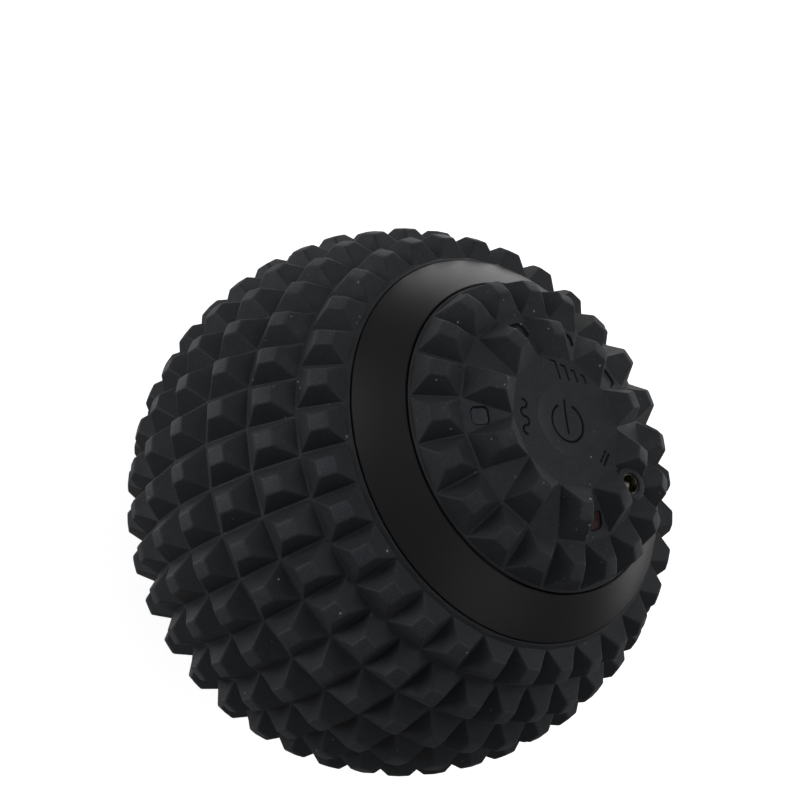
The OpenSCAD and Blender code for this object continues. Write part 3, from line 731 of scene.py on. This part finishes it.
# ------------------------------------------------------------------ the button
def build_button():
    """The dished power button with its engraved symbol."""
    s = Skin()
    n = BUTTON_POINTS
    radii = list(np.linspace(BUTTON_R, DISH_R - 0.6, 12))
    radii += list(np.arange(DISH_R - 0.68, 0.3, -BUTTON_STEP))
    flat = polar_grid(radii, n)
    rho = np.hypot(flat[:, 0], flat[:, 1])

    def dish(r):
        """A round dish whose rim is softened over about a millimetre."""
        t = (DISH_R ** 2 - r ** 2) / DISH_R ** 2 * DISH_DEPTH
        return 0.5 * (t + np.sqrt(t * t + DISH_SOFT))

    z = FACE_Z - dish(rho) + 0.5 * math.sqrt(DISH_SOFT) * np.clip(rho / BUTTON_R, 0, 1) ** 6
    rings = s.grid(flat, cut(power_dist(flat), POWER_LINE_W), z, n)
    s.fan(rings[-1], Vector((0, 0, FACE_Z - dish(0.0))))
    low_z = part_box("power_button")[0].z / MM
    wall = [s.level_ring(r, z, n) for r, z in (
        (BUTTON_R, FACE_Z - 0.3), (BUTTON_R, low_z + BUTTON_EDGE),
        (BUTTON_R - BUTTON_EDGE, low_z), (STEM_HOLE_R, low_z),
        (STEM_HOLE_R, low_z + STEM_HOLE_L))]
    s.bands([rings[0]] + wall)
    s.fan(wall[-1], Vector((0, 0, low_z + STEM_HOLE_L)))
    return s.make("power_key")


# ----------------------------------------------------------------- the windows
def build_window(name, fs):
    """Crowned lenses with rounded edges and a round foot, at the angles fs."""
    s = Skin()
    low = SHELL_R + 0.1
    for f in fs:
        ax, ay, az = toward(VALLEY_T, f)

        def outline(grow, z, k=1.0):
            return s.ring([ax * x * k + ay * y * k + az * z for x, y in window_outline(grow)])

        crown = [outline(-0.35, WINDOW_TOP + LENS_CROWN * (1 - k * k), k) for k in (0.4, 0.7)]
        side = [outline(grow, z) for grow, z in (
            (-0.35, WINDOW_TOP), (-0.2, WINDOW_TOP - 0.015), (-0.11, WINDOW_TOP - 0.08),
            (-WINDOW_GAP, WINDOW_TOP - 0.2), (-WINDOW_GAP, low))]
        s.fan(crown[0], az * (WINDOW_TOP + LENS_CROWN))
        s.bands(crown + side)
        stem, foot = [s.ring([ax * x + ay * y + az * z for x, y in circle(PIPE_R, PIPE_POINTS)])
                      for z in (low, PIPE_END)]
        s.fill(plane_loop(s, side[-1], az * low, ax, ay), plane_loop(s, stem, az * low, ax, ay))
        s.band(stem, foot)
        s.fan(foot, az * PIPE_END)
    return s.make(name)


# ------------------------------------------------------------------ materials
class Nodes:
    """A small helper for building a material's node tree."""

    def __init__(self, name):
        self.mat = bpy.data.materials.new(name)
        self.mat.use_nodes = True
        self.tree = self.mat.node_tree
        self.shader = self.tree.nodes["Principled BSDF"]
        self.coord = self.tree.nodes.new("ShaderNodeTexCoord").outputs["Object"]

    def new(self, kind, **values):
        """A node of this kind, with its settings."""
        n = self.tree.nodes.new("ShaderNode" + kind)
        for k, v in values.items():
            setattr(n, k, v)
        return n

    def feed(self, socket, v):
        """Puts a number, a colour or another node's output into a socket."""
        if isinstance(v, tuple):
            socket.default_value = (*v, 1)
        elif isinstance(v, (int, float)):
            socket.default_value = v
        else:
            self.tree.links.new(v, socket)

    def noise(self, mm, detail=3.0, rough=0.55, stretch=None):
        """Noise with features about this many millimetres across."""
        coord = self.coord
        if stretch:
            m = self.new("Mapping")
            m.inputs["Scale"].default_value = stretch
            self.feed(m.inputs["Vector"], coord)
            coord = m.outputs["Vector"]
        n = self.new("TexNoise")
        for socket, v in (("Scale", 1 / (mm * MM)), ("Detail", detail), ("Roughness", rough),
                          ("Vector", coord)):
            self.feed(n.inputs[socket], v)
        return n.outputs["Fac"]

    def ramp(self, source, stops):
        """A colour ramp with two stops of (place, colour)."""
        n = self.new("ValToRGB")
        for e, (pos, col) in zip(n.color_ramp.elements, stops):
            e.position = pos
            e.color = (*col, 1)
        self.feed(n.inputs["Fac"], source)
        return n.outputs["Color"]

    def math(self, op, a, b, clamp=False):
        n = self.new("Math", operation=op, use_clamp=clamp)
        self.feed(n.inputs[0], a)
        self.feed(n.inputs[1], b)
        return n.outputs[0]

    def remap(self, source, *limits):
        """Maps the range of the first two limits onto that of the last two, clamped."""
        n = self.new("MapRange")
        for socket, v in zip(n.inputs, (source,) + limits):
            self.feed(socket, v)
        return n.outputs[0]

    def mix(self, fac, a, b):
        n = self.new("Mix", data_type="RGBA")
        for k, v in ((0, fac), (6, a), (7, b)):
            self.feed(n.inputs[k], v)
        return n.outputs[2]

    def specks(self, spacing, radius, share):
        """1 on small scattered specks: one place in each cell, used in a share of them."""
        v = self.new("TexVoronoi")
        self.feed(v.inputs["Scale"], 1 / (spacing * MM))
        self.feed(v.inputs["Vector"], self.coord)
        sep = self.new("SeparateColor")
        self.feed(sep.inputs[0], v.outputs["Color"])
        size = self.math("MULTIPLY", sep.outputs[1], radius / spacing)
        inside = self.math("SUBTRACT", size, v.outputs["Distance"])
        soft = self.remap(inside, 0.0, radius / spacing * 0.4, 0, 1)
        used = self.math("GREATER_THAN", sep.outputs[0], 1 - share)
        return self.math("MULTIPLY", soft, used)

    def bump(self, parts):
        """Chains height fields given as (source, depth in mm)."""
        normal = None
        for source, depth in parts:
            n = self.new("Bump")
            self.feed(n.inputs["Strength"], 1)
            self.feed(n.inputs["Distance"], depth * MM)
            self.feed(n.inputs["Height"], source)
            if normal is not None:
                self.feed(n.inputs["Normal"], normal)
            normal = n.outputs["Normal"]
        self.feed(self.shader.inputs["Normal"], normal)

    def put(self, **sockets):
        """Sets or links the shader's own sockets and returns the material."""
        names = {"color": "Base Color", "rough": "Roughness", "metal": "Metallic",
                 "sheen": "Sheen Weight", "sheen_rough": "Sheen Roughness",
                 "ior": "IOR", "specular": "Specular IOR Level"}
        for k, v in sockets.items():
            self.feed(self.shader.inputs[names[k]], v)
        return self.mat


DARK_RUBBER = (0.0125, 0.0138, 0.0165)
LIGHT_RUBBER = (0.0200, 0.0218, 0.0255)
DUST = (0.13, 0.132, 0.136)
LINT = (0.42, 0.425, 0.43)
PAINTED_GROOVE_SHADE = (0.0008, 0.0008, 0.0009)     # painted shade in the engraved lines, darkest where they are deepest
SCUFF_AND_LIGHT_FROM = 62.95                       # the radius at which the scuffs and the painted light on the tops begin
SCUFF_AND_LIGHT_FULL = 63.35


def silicone(name, lit_tone, dust, wear_and_light):
    """Matt rubber with a brightness set per piece that also carries painted light, an amount of
    dust, and scuffed tops painted lighter, partly wear and partly a painted highlight.
    """
    m = Nodes(name)
    cloud = m.noise(14, 4, 0.6)
    grain = m.noise(0.4, 2, 0.7)
    dark = tuple(c * lit_tone for c in DARK_RUBBER)
    light = tuple(c * lit_tone for c in LIGHT_RUBBER)
    body = m.ramp(m.remap(cloud, 0.3, 0.7, 0, 1), [(0, dark), (1, light)])
    body = m.mix(m.remap(grain, 0.4, 0.75, 0, 0.4), body, tuple(c * 1.9 for c in light))
    # the studs' tops are scuffed in a fine grain and painted lighter, partly wear and partly a
    # painted highlight on the raised tops
    if wear_and_light:
        far = m.new("VectorMath", operation="LENGTH")
        m.feed(far.inputs[0], m.coord)
        worn_and_lit = m.remap(far.outputs["Value"], SCUFF_AND_LIGHT_FROM * MM, SCUFF_AND_LIGHT_FULL * MM, 0, wear_and_light)
        scuff = m.remap(m.noise(0.28, 2, 0.7), 0.40, 0.62, 0.15, 1)
        body = m.mix(m.math("MULTIPLY", worn_and_lit, scuff), body, tuple(c * 3.0 for c in light))
    # lint and dust, which silicone always picks up, thicker in some places
    patchy = m.remap(m.noise(11, 2), 0.45, 0.62, 0.10 * dust, 1)
    fine = m.math("MULTIPLY", m.specks(0.75, 0.22, 0.6), patchy)
    lint = m.math("MULTIPLY", m.specks(2.0, 0.40, 0.35 * dust), patchy)
    body = m.mix(m.math("MULTIPLY", fine, 0.5 * dust), body, DUST)
    body = m.mix(m.math("MULTIPLY", lint, 0.9), body, LINT)
    # painted shade: the engraved lines are darkened by their depth, in place of the shade
    # inside them
    groove_shade = m.new("Attribute", attribute_name="engraved").outputs["Fac"]
    body = m.mix(groove_shade, body, PAINTED_GROOVE_SHADE)
    rough = m.remap(m.noise(3.0, 3), 0.3, 0.7, 0.54, 0.66)
    rough = m.math("ADD", rough, m.math("MULTIPLY", groove_shade, 0.3), True)
    m.bump([(m.noise(6.0, 2), 0.05), (grain, 0.010), (lint, 0.05)])
    return m.put(color=body, rough=rough, ior=1.42, sheen=0.06, sheen_rough=0.5)


def satin_plastic(name):
    """The band: satin black with faint scuffs round it and a little dust."""
    m = Nodes(name)
    cloud = m.noise(25, 3)
    body = m.ramp(m.remap(cloud, 0.3, 0.7, 0, 1),
                  [(0, (0.0098, 0.0098, 0.0100)), (1, (0.0128, 0.0128, 0.0130))])
    dust = m.specks(5.0, 0.14, 0.4)
    body = m.mix(m.math("MULTIPLY", dust, 0.5), body, (0.3, 0.3, 0.3))
    scuff = m.noise(1.2, 4, 0.7, stretch=(1, 1, 9))
    rough = m.remap(scuff, 0.35, 0.75, 0.38, 0.47)
    m.bump([(m.noise(0.5, 2), 0.0015), (scuff, 0.0012)])
    return m.put(color=body, rough=rough, ior=1.5)


def lens(name, dark, light):
    """A smoked window."""
    m = Nodes(name)
    body = m.ramp(m.noise(1.6, 2), [(0.3, dark), (0.7, light)])
    dust = m.specks(0.8, 0.10, 0.4)
    body = m.mix(m.math("MULTIPLY", dust, 0.4), body, (0.2, 0.2, 0.2))
    m.bump([(m.noise(0.9, 2), 0.004)])
    return m.put(color=body, rough=m.remap(m.noise(0.6, 3), 0.3, 0.7, 0.42, 0.55), ior=1.45)


def plastic(name, color, rough=0.5, grain=0.2):
    """Moulded plastic or rubber; grain is its texture's size in mm."""
    m = Nodes(name)
    lo, hi = tuple(c * 0.85 for c in color), tuple(min(1, c * 1.12) for c in color)
    body = m.ramp(m.noise(6, 3), [(0.3, lo), (0.7, hi)])
    m.bump([(m.noise(grain, 2), 0.004)])
    return m.put(color=body, rough=m.remap(m.noise(2, 3), 0.3, 0.7, rough - 0.06, rough + 0.08))


def metal(name, color, rough=0.3, brushed=True):
    """Bare metal, with fine lines round it if brushed."""
    m = Nodes(name)
    lines = m.noise(0.6, 4, 0.6, stretch=(1, 1, 14) if brushed else None)
    lo = tuple(c * 0.8 for c in color)
    body = m.ramp(lines, [(0.3, lo), (0.75, color)])
    m.bump([(lines, 0.004)])
    return m.put(color=body, metal=1.0,
                 rough=m.remap(lines, 0.3, 0.7, rough - 0.07, rough + 0.1))


SLOT_LOOK = {
    "band_plastic": satin_plastic("band_plastic"),
    "inner_plastic": plastic("inner_plastic", (0.018, 0.018, 0.02), 0.45),
    "cradle_plastic": plastic("cradle_plastic", (0.06, 0.065, 0.07), 0.5),
    "seal_rubber": plastic("seal_rubber", (0.08, 0.08, 0.08), 0.7),
    "damper_rubber": plastic("damper_rubber", (0.02, 0.02, 0.02), 0.75),
    "lamp": plastic("lamp", (0.75, 0.74, 0.6), 0.25),
    "board": plastic("board", (0.008, 0.09, 0.035), 0.35),
    "chip": plastic("chip", (0.012, 0.012, 0.012), 0.5),
    "plug_nylon": plastic("plug_nylon", (0.72, 0.71, 0.64), 0.45),
    "actuator": plastic("actuator", (0.3, 0.02, 0.02), 0.35),
    "screw_steel": metal("screw_steel", (0.62, 0.62, 0.64), 0.32),
    # painted shade: nickel made much darker than bare nickel, for the shade inside the charging
    # socket; every nickel part gets it
    "nickel": metal("nickel", (0.24, 0.235, 0.225), 0.42),
    "contact": metal("contact", (0.78, 0.74, 0.62), 0.25, False),
    "cell": plastic("cell", (0.02, 0.11, 0.32), 0.3),
    "lead_insulation": plastic("lead_insulation", (0.45, 0.012, 0.012), 0.4),
    "can_steel": metal("can_steel", (0.6, 0.6, 0.62), 0.35),
    "shaft_steel": metal("shaft_steel", (0.7, 0.7, 0.72), 0.2),
    "magnet": plastic("magnet", (0.05, 0.05, 0.052), 0.6),
    "carbon": plastic("carbon", (0.02, 0.02, 0.02), 0.6),
    "core": metal("core", (0.6, 0.32, 0.16), 0.4),
    "bearing_bronze": metal("bearing_bronze", (0.62, 0.42, 0.22), 0.4, False),
    "weight_brass": metal("weight_brass", (0.72, 0.58, 0.3), 0.3),
}
# one silicone in three copies whose tones are set per piece as painted light, lightening the
# flat face and the button
SILICONE = silicone("silicone", 1.36, 0.55, 0.5)
CAP_SILICONE = silicone("cap_silicone", 1.32, 1.3, 0.2)
KEY_SILICONE = silicone("key_silicone", 1.42, 1.3, 0)
LEVEL_LENS = lens("level_lens", (0.010, 0.011, 0.014), (0.02, 0.021, 0.025))
MODE_LENS = lens("mode_lens", (0.013, 0.014, 0.024), (0.021, 0.023, 0.040))
CHARGE_LENS = lens("charge_lens", (0.026, 0.008, 0.009), (0.048, 0.013, 0.014))

slot_of = {p["node"]: p["material_slot"] for p in frame["record"]["subparts"]}
for node_name, node in frame["nodes"].items():
    look = SLOT_LOOK.get(slot_of[node_name])
    if look:
        node.data.materials.clear()
        node.data.materials.append(look)


# --------------------------------------------------------------------- pieces
PIECES = (
    (build_sleeve(), SILICONE, "ball", "main_sleeve", "silicone"),
    (build_cap("silicone_control_cap", True), CAP_SILICONE, "ball", "control_cap", "silicone"),
    (build_cap("silicone_far_cap", False), CAP_SILICONE, "ball", "far_cap", "silicone"),
    (build_button(), KEY_SILICONE, "button", "power_button", "key_silicone"),
    (build_window("level_lenses", LEVEL_F), LEVEL_LENS, "ball", "level_windows", "level_lens"),
    (build_window("mode_lens", (MODE_F,)), MODE_LENS, "ball", "mode_window", "mode_lens"),
    (build_window("charge_lens", (CHARGE_F,)), CHARGE_LENS, "ball", "charge_window",
     "charge_lens"),
)
for ob, look, body, replaced, slot in PIECES:
    ob.data.materials.append(look)
    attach(ob, body)
    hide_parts(replaced)

# ---------------------------------------------------------------------- stage
FLOOR_HALF = 6.0        # metres
corners = [(x * FLOOR_HALF, y * FLOOR_HALF, CAD_LO.z)
           for x, y in ((-1, -1), (1, -1), (1, 1), (-1, 1))]
floor_mesh = bpy.data.meshes.new("floor")
floor_mesh.from_pydata(corners, [], [(0, 1, 2, 3)])
floor = bpy.data.objects.new("floor", floor_mesh)
scene.collection.objects.link(floor)
paint = Nodes("floor")
paint.put(color=paint.ramp(paint.noise(400, 2), [(0.3, (0.90, 0.90, 0.90)),
                                                 (0.7, (0.93, 0.93, 0.93))]),
          rough=0.9, specular=0.1)
paint.shader.inputs["Emission Color"].default_value = (1, 1, 1, 1)
paint.shader.inputs["Emission Strength"].default_value = 0.9
floor_mesh.materials.append(paint.mat)
# the floor is a plain white backdrop: it takes no part in lighting the ball
floor.visible_glossy = False
floor.visible_diffuse = False
floor.visible_shadow = False

# camera at the photograph's angle: over the flat face, rolled with the ball
TO_CAM = Vector((-0.3466, -0.6002, 0.7208)).normalized()
UP = Vector((-0.6225, 0.7220, 0.3019))
UP = (UP - TO_CAM * UP.dot(TO_CAM)).normalized()
RIGHT = UP.cross(TO_CAM)
DISTANCE = 0.635        # metres from the ball's centre
LENS = 122.5935         # focal length and sensor in mm
SENSOR = 36
BALL_BELOW = 0.0371839  # the ball's centre lies this far below the line of sight and
BALL_RIGHT = 0.0003304  # right of it, as shares of the distance
cam_data = bpy.data.cameras.new("camera")
cam_data.sensor_width = SENSOR
cam_data.lens = LENS
cam_data.clip_start, cam_data.clip_end = 0.01, 50
cam = bpy.data.objects.new("camera", cam_data)
scene.collection.objects.link(cam)
scene.camera = cam
sight = (-TO_CAM + UP * BALL_BELOW - RIGHT * BALL_RIGHT).normalized()
cam_up = (UP - sight * UP.dot(sight)).normalized()
cam_right = sight.cross(cam_up)
cam.rotation_mode = "QUATERNION"
cam.matrix_world = Matrix([(*axes, at) for *axes, at in
                           zip(cam_right, cam_up, -sight, TO_CAM * DISTANCE)] + [(0, 0, 0, 1)])

# square lights about the ball, each with its metres right of, above and in front of it
# as the camera sees them, and its watts
for name, right, up, front, power in (
        ("left", -1.4, 0.2, 0.5, 4.6), ("left_back", -1.1, 0.6, -0.8, 3.6),
        ("top_back", 0.3, 1.1, -0.9, 4.7), ("upper_left", -0.9, 0.8, 0.9, 2.6),
        ("upper_right", 0.9, 0.8, 0.9, 3.5), ("right_back", 1.2, 0.1, -0.8, 3.2),
        ("right", 1.3, 0.2, 0.7, 1.3), ("low_right", 0.9, -0.9, 0.9, 1.0)):
    data = bpy.data.lights.new(name, "AREA")
    data.shape = "SQUARE"
    data.size = 1.0
    data.energy = power
    light = bpy.data.objects.new(name, data)
    light.location = RIGHT * right + UP * up + TO_CAM * front
    light.rotation_mode = "QUATERNION"
    light.rotation_quaternion = (-light.location).to_track_quat("-Z", "Y")
    scene.collection.objects.link(light)

# the room lights the ball faintly, and is as white as the floor where it shows
world = bpy.data.worlds.new("studio")
scene.world = world
world.use_nodes = True
nodes, links = world.node_tree.nodes, world.node_tree.links
ambient, backdrop = nodes["Background"], nodes.new("ShaderNodeBackground")
for node, strength in ((ambient, 0.12), (backdrop, 1.0)):
    node.inputs["Color"].default_value = (1, 1, 1, 1)
    node.inputs["Strength"].default_value = strength
either = nodes.new("ShaderNodeMixShader")
links.new(nodes.new("ShaderNodeLightPath").outputs["Is Camera Ray"], either.inputs[0])
links.new(ambient.outputs[0], either.inputs[1])
links.new(backdrop.outputs[0], either.inputs[2])
links.new(either.outputs[0], nodes["World Output"].inputs["Surface"])
scene.view_settings.view_transform = "Standard"
scene.view_settings.look = "None"
